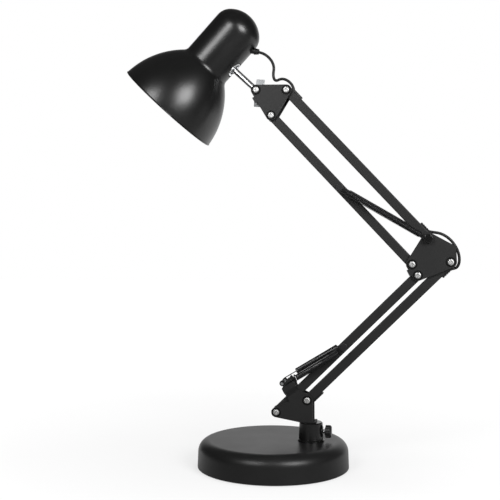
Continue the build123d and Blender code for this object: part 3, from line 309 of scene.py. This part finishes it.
def made_from(shape, name, material):
    """An object of the scene from a bmesh, which is used up."""
    mesh = bpy.data.meshes.new(name)
    shape.to_mesh(mesh)
    shape.free()
    mesh.materials.append(material)
    made = bpy.data.objects.new(name, mesh)
    scene.collection.objects.link(made)
    return made


def tube(name, points, radius, sides, material):
    """A closed round tube through points, its rings turned as little as possible from one to the next."""
    shape = bmesh.new()
    rings = []
    across = None
    for k, point in enumerate(points):
        run = (points[min(k + 1, len(points) - 1)] - points[max(k - 1, 0)]).normalized()
        if across is None:
            across = run.orthogonal().normalized()
        across = (across - run * across.dot(run)).normalized()
        up = run.cross(across)
        rings.append([shape.verts.new(point + radius * (math.cos(a) * across + math.sin(a) * up))
                      for a in (2 * math.pi * s / sides for s in range(sides))])
    skin(shape, rings)
    shape.faces.new(list(reversed(rings[0])))
    shape.faces.new(rings[-1])
    made = made_from(shape, name, material)
    for face in made.data.polygons:
        face.use_smooth = len(face.vertices) == 4
    return made


# The lead

LEAD_RADIUS = 1.75 * MM
LEAD_SIDES = 16
ROUTE_STEPS = 16                 # to one stretch of a route
BAR_INSIDE = 4.7                 # half a bar's width inside its walls
WALL_AT, MIDDLE_AT = 8.0, 14.0   # from a pivot to where the lead is at the bar's wall, and at its middle line
CLIP_CLEAR = 4.6                 # how far out from the wall the lead is clear of its clip
EXIT_SLOPE = (MIDDLE_AT - WALL_AT) / BAR_INSIDE
ONWARD, BACK = -90, 90           # the lead's side of a bar, looking along it and back along it
ELBOW_BENDS = ((-11.2, 34.7), (-1.2, 28.5), (5.9, 19.5), (9.9, 9.9), (10.7, 0.9), (8.7, -5.5))  # right, up
HEAD_BENDS = ((-22.3, 42.9), (-16.3, 32.0), (-18.3, 19.6), (-15.1, 12.5), (-6.9, 16.3), (1.7, 12.9))
NIPPLE_AT = 118.0                # along the shade, from its rim to the holder's nipple
NIPPLE_BENDS = ((0, 0), (4.5, 4.5), (4.0, 14.0))  # beyond the nipple, out from the shade's axis
GROMMET_ANGLE = -8.0             # how the lead leans in the grommet


def smooth_route(places):
    """Points in metres along one NURBS line, whose control points are places in the arm plane."""
    curve = bpy.data.curves.new("route", "CURVE")
    curve.dimensions = "3D"
    curve.resolution_u = ROUTE_STEPS
    line = curve.splines.new("NURBS")
    line.points.add(len(places) - 1)
    for point, place in zip(line.points, places):
        point.co = (*in_space(place), 1.0)
    line.order_u = 3
    line.use_endpoint_u = True
    carrier = bpy.data.objects.new("route", curve)
    scene.collection.objects.link(carrier)
    mesh = bpy.data.meshes.new_from_object(carrier)
    points = [v.co.copy() for v in mesh.vertices]
    bpy.data.objects.remove(carrier)
    bpy.data.curves.remove(curve)
    bpy.data.meshes.remove(mesh)
    return points


def on_bar(start, angle, side, along, out):
    """A point of the arm plane beside a bar: along it from a pivot, and out from its middle line."""
    return polar(polar(start, along, angle), out, angle + side)


def bar_exit(start, angle, side):
    """Where the lead leaves a bar: at its wall, and clear of its clip."""
    return (on_bar(start, angle, side, WALL_AT, BAR_INSIDE),
            on_bar(start, angle, side, WALL_AT - CLIP_CLEAR * EXIT_SLOPE, BAR_INSIDE + CLIP_CLEAR))


def bends_from(pivot, steps):
    """Places to the right of and above a pivot."""
    return [(pivot[0] + right, pivot[1] + up) for right, up in steps]


for name, start, pitch, angle, body in (
    ("upper_bar_lead", elbow_rivet, UPPER_PITCH, UPPER_ANGLE, "upper_main"),
    ("lower_bar_lead", lower_main, LOWER_PITCH, LOWER_ANGLE, "lower_main"),
):
    far = polar(start, pitch, angle)
    route = [on_bar(start, angle, ONWARD, WALL_AT, BAR_INSIDE),
             on_bar(start, angle, ONWARD, MIDDLE_AT, 0.0),
             on_bar(far, angle + 180, BACK, MIDDLE_AT, 0.0),
             on_bar(far, angle + 180, BACK, WALL_AT, BAR_INSIDE)]
    piece = tube("lead_inside_" + body, smooth_route(route), LEAD_RADIUS, LEAD_SIDES, pvc_sheath)
    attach(piece, body)
    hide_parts(name)

elbow_out = bar_exit(elbow_rivet, UPPER_ANGLE, ONWARD)
elbow_in = bar_exit(elbow_main, LOWER_ANGLE + 180, BACK)
elbow_route = smooth_route([*elbow_out, *bends_from(elbow_main, ELBOW_BENDS), *reversed(elbow_in)])
head_in = bar_exit(head_main, UPPER_ANGLE + 180, BACK)
nipple = [polar(polar(rim, NIPPLE_AT + beyond, SHADE_AXIS), out, SHADE_AXIS - 90)
          for beyond, out in NIPPLE_BENDS]
head_route = smooth_route([*nipple, polar(grommet, -10.0, GROMMET_ANGLE), polar(grommet, 12.0, GROMMET_ANGLE),
                           *bends_from(head_main, HEAD_BENDS), *reversed(head_in)])


def lead_stretch(name, route, first, last, node, bodies):
    """A stretch of the loose lead, as shares of its route, which follows one body, or is left free when it lies
    between two.
    """
    count = len(route) - 1
    points = route[round(first * count):round(last * count) + 1]
    piece = tube(name, points, LEAD_RADIUS, LEAD_SIDES, pvc_sheath)
    if len(bodies) == 1:
        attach(piece, bodies[0])
    else:
        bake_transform(piece)
    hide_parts(node)


lead_stretch("elbow_lead_upper", elbow_route, 0.0, 0.45, "elbow_lead", ("upper_main", "elbow"))
lead_stretch("elbow_lead_lower", elbow_route, 0.45, 1.0, "elbow_lead", ("elbow", "lower_main"))
lead_stretch("head_lead_inside", head_route, 0.0, 0.32, "head_lead", ("head",))
lead_stretch("head_lead_neck", head_route, 0.32, 0.5, "head_lead", ("head", "rod"))
lead_stretch("head_lead_loop", head_route, 0.5, 0.7, "head_lead", ("rod", "head_yoke"))
lead_stretch("head_lead_turn", head_route, 0.7, 1.0, "head_lead", ("head_yoke", "upper_main"))


# Springs

WIRE = 0.65 * MM                 # radius of the wire
COIL = 3.15 * MM                 # radius of a coil's and a loop's middle line
PIN_ROOM = 0.2 * MM              # between a loop and its pin
WIRE_SIDES = 10
STEPS = 20                       # to one turn of a coil
LOOP_STEPS = 24
LOOP_FROM, LOOP_TURN = 325, 235  # degrees: where a loop starts, and how far it turns
COIL_BEGUN = 30                  # number of a point in the coil's first turn, past the loop
SPRING_Y = 13.2                  # from the arm plane to a spring


def spring_line(start, start_radius, end, end_radius, y, turns, reach, far_reach, lift, flip):
    """The middle line of a spring's wire, from loop to loop, and its two ends.

    The coil begins and ends at its reaches from the pins, and lies beside their line by the lift.
    """
    a, b = in_space(start, y), in_space(end, y)
    along = (b - a).normalized()
    side = Vector((0, flip, 0))
    up = along.cross(side)
    span = (b - a).length

    def at(run, rise, across=0.0):
        return a + along * run + up * rise + side * across

    slack = COIL - WIRE - PIN_ROOM
    near = slack - start_radius * MM
    far = span + end_radius * MM - slack
    first, last = reach * MM, span - far_reach * MM
    loop = [math.radians(LOOP_FROM - LOOP_TURN * k / LOOP_STEPS) - math.pi / 2 for k in range(LOOP_STEPS + 1)]
    tip = loop[0]
    tip_run = COIL * math.sin(tip) + 2 * WIRE * math.cos(tip)
    tip_rise = COIL * math.cos(tip) - 2 * WIRE * math.sin(tip)
    points = [at(near - tip_run, tip_rise)]
    points += [at(near - COIL * math.sin(t), COIL * math.cos(t)) for t in loop]
    total = turns * STEPS
    for k in range(total + 1):
        angle = 2 * math.pi * k / STEPS
        ease = min(k, total - k, STEPS) / STEPS
        rise = lift * MM * ease * ease * (3 - 2 * ease)
        points.append(at(first + (last - first) * k / total,
                         COIL * math.cos(angle) + rise, COIL * math.sin(angle)))
    points += [at(far + COIL * math.sin(t), COIL * math.cos(t)) for t in reversed(loop)]
    points.append(at(far + tip_run, tip_rise))
    return points, a, b


def spring(name, node, line, split, lean):
    """A spring in two pieces, a hook and a coil, which meet at a cut.

    The split is the least share of the span at which they meet. The lean, a share of the span too, is not used
    for the pieces.
    """
    points, a, b = spring_line(**line)
    span = (b - a).length

    def share(point):
        return (point - a).dot(b - a) / span**2

    cut = next(k for k, p in enumerate(points) if k > COIL_BEGUN and share(p) > split)
    at_cut = share(points[cut])
    lead_in = at_cut * (1 + lean) / (at_cut + lean)
    for part, stretch, first, last in (
        ("hook", points[:cut + 1], a, a + (b - a) * lead_in),
        ("coil", points[cut:], a - (b - a) * lean, b),
    ):
        piece = tube(f"{name}_{part}", stretch, WIRE, WIRE_SIDES, spring_wire)
        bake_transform(piece)
        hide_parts(node)


for place, flip in (("front", -1), ("rear", 1)):
    upper_line = dict(start=elbow_rivet, start_radius=2.0, end=upper_pin, end_radius=2.0, y=flip * SPRING_Y,
                      turns=68, reach=10.2, far_reach=10.2, lift=1.0, flip=-flip)
    spring(f"upper_spring_{place}_wire", f"upper_spring_{place}", upper_line,
           split=0.1, lean=2.15)
    lower_line = dict(start=anchor_pin, start_radius=1.2, end=lower_pin, end_radius=2.0, y=flip * SPRING_Y,
                      turns=41, reach=18.0, far_reach=9.0, lift=2.8, flip=flip)
    spring(f"lower_spring_{place}_wire", f"lower_spring_{place}", lower_line,
           split=0.12, lean=0.4667)


# Washers round the bolt heads

PLATE_FACE = -9.1                # the front of every bracket plate, along Y
WASHER_PROFILE = ((4.05, 0.0), (4.05, 0.7), (5.6, 0.7), (5.9, 0.4), (5.9, 0.0))  # radius, height off the plate
WASHER_SIDES = 64


def washer(name, centre, body):
    """A fibre washer with a broken edge, flat on the front plate round a bolt's head."""
    shape = bmesh.new()
    rings = []
    for radius, height in WASHER_PROFILE:
        places = [polar(centre, radius, 360 * s / WASHER_SIDES) for s in range(WASHER_SIDES)]
        rings.append([shape.verts.new(in_space(place, PLATE_FACE - height)) for place in places])
    skin(shape, rings + rings[:1])
    bmesh.ops.recalc_face_normals(shape, faces=shape.faces)
    piece = made_from(shape, name, vulcanised_fibre)
    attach(piece, body)


for group, body, centres in (
    ("lower", "turret", (lower_main, lower_link)),
    ("elbow", "elbow", (elbow_main, elbow_link, elbow_upper)),
    ("head", "head_yoke", (head_tilt, head_main, head_link)),
):
    for number, centre in enumerate(centres, 1):
        washer(f"{group}_bolt_washer_{number}", centre, body)


# Floor, light and camera, in metres

FLOOR_HALF = 6


def seen_rays(tree):
    """Whether a ray comes from the camera, and whether it comes from there, a mirror or glass."""
    rays = add(tree, "ShaderNodeLightPath")
    seen = add(tree, "ShaderNodeMath", {"operation": "MAXIMUM"},
               {0: rays.outputs["Is Camera Ray"], 1: rays.outputs["Is Glossy Ray"]})
    seen = add(tree, "ShaderNodeMath", {"operation": "MAXIMUM"},
               {0: seen.outputs[0], 1: rays.outputs["Is Transmission Ray"]})
    return rays.outputs["Is Camera Ray"], seen.outputs[0]


floor_mesh = bpy.data.meshes.new("studio_floor")
floor_mesh.from_pydata([(-FLOOR_HALF, -FLOOR_HALF, 0), (FLOOR_HALF, -FLOOR_HALF, 0),
                        (FLOOR_HALF, FLOOR_HALF, 0), (-FLOOR_HALF, FLOOR_HALF, 0)], [], [(0, 1, 2, 3)])
floor = bpy.data.objects.new("studio_floor", floor_mesh)
scene.collection.objects.link(floor)

# White paper, matte: it keeps the shadow, is white to the camera further off,
# and shows in a mirror only where it lies behind the lamp.
paper = bpy.data.materials.new("white_paper_floor")
paper.use_nodes = True
tree = paper.node_tree
tree.nodes.clear()
camera_ray, seen = seen_rays(tree)
place = add(tree, "ShaderNodeTexCoord").outputs["Object"]
away = add(tree, "ShaderNodeVectorMath", {"operation": "LENGTH"}, {0: place})
bright = add(tree, "ShaderNodeMapRange", None,
             {"Value": away.outputs["Value"], "From Min": 0.1, "From Max": 1.4, "To Min": 0.655, "To Max": 1.0})
behind = add(tree, "ShaderNodeSeparateXYZ", None, {"Vector": place}).outputs["Y"]
sheet = add(tree, "ShaderNodeMapRange", {"interpolation_type": "SMOOTHSTEP"},
            {"Value": behind, "From Min": -0.3, "From Max": 0.35, "To Min": 0.0, "To Max": 1.0})
mirrored = add(tree, "ShaderNodeMath", {"operation": "MULTIPLY"}, {0: seen, 1: sheet.outputs["Result"]})
shown = add(tree, "ShaderNodeMath", {"operation": "MAXIMUM"}, {0: mirrored.outputs[0], 1: camera_ray})
glow = add(tree, "ShaderNodeMath", {"operation": "MULTIPLY"},
           {0: bright.outputs["Result"], 1: shown.outputs[0]})
matte = add(tree, "ShaderNodeBsdfDiffuse", None, {"Color": srgb("#828282")})
white = add(tree, "ShaderNodeEmission", None, {"Color": srgb("#ffffff"), "Strength": glow.outputs[0]})
both = add(tree, "ShaderNodeAddShader", None, {0: matte.outputs["BSDF"], 1: white.outputs["Emission"]})
add(tree, "ShaderNodeOutputMaterial", None, {"Surface": both.outputs["Shader"]})
floor_mesh.materials.append(paper)

# The backdrop: white to the camera, in a mirror only straight behind, and a low light from all sides.
world = bpy.data.worlds.new("studio")
scene.world = world
world.use_nodes = True
tree = world.node_tree
tree.nodes.clear()
camera_ray, seen = seen_rays(tree)
toward = add(tree, "ShaderNodeTexCoord").outputs["Generated"]
depth = add(tree, "ShaderNodeSeparateXYZ", None, {"Vector": toward}).outputs["Y"]
paper_share = add(tree, "ShaderNodeMapRange", {"interpolation_type": "SMOOTHSTEP"},
                  {"Value": depth, "From Min": 0.7, "From Max": 1.0, "To Min": 0.06, "To Max": 1.0})
strength = add(tree, "ShaderNodeMapRange", None,
               {"Value": seen, "To Min": 0.25, "To Max": paper_share.outputs["Result"]})
strength = add(tree, "ShaderNodeMath", {"operation": "MAXIMUM"},
               {0: strength.outputs["Result"], 1: camera_ray})
sky = add(tree, "ShaderNodeBackground", None, {"Color": srgb("#ffffff"), "Strength": strength.outputs[0]})
add(tree, "ShaderNodeOutputWorld", None, {"Surface": sky.outputs["Background"]})


def softbox(name, place, aim, width, height, power, mirrored=True):
    """A rectangular studio light, which may be kept out of reflections."""
    data = bpy.data.lights.new(name, "AREA")
    data.shape = "RECTANGLE"
    data.size = width
    data.size_y = height
    data.energy = power
    made = bpy.data.objects.new(name, data)
    made.location = place
    made.rotation_euler = (Vector(aim) - Vector(place)).to_track_quat("-Z", "Y").to_euler()
    made.visible_camera = False
    made.visible_glossy = mirrored
    scene.collection.objects.link(made)


softbox("right_box", (0.865, -0.965, 0.795), (-0.05, 0.0, 0.35), width=0.6, height=0.6, power=19)
softbox("left_box", (-0.487, -1.266, 0.936), (0.0, 0.0, 0.35), width=0.5, height=0.5, power=12)
softbox("top_box", (0.1, 0.1, 1.9), (0.0, 0.0, 0.0), width=1.2, height=1.2, power=20, mirrored=False)

# The camera is level; its place, aim and lens were fitted to the photograph.
camera_data = bpy.data.cameras.new("photo_camera")
camera_data.lens = 60.53
camera_data.sensor_width = 36.0
camera_data.clip_start = 0.01
camera = bpy.data.objects.new("photo_camera", camera_data)
camera.location = (0.1736, -1.0461, 0.272)
camera.rotation_euler = Vector((-0.1908, 0.9816, 0.0)).to_track_quat("-Z", "Y").to_euler()
scene.collection.objects.link(camera)
scene.camera = camera
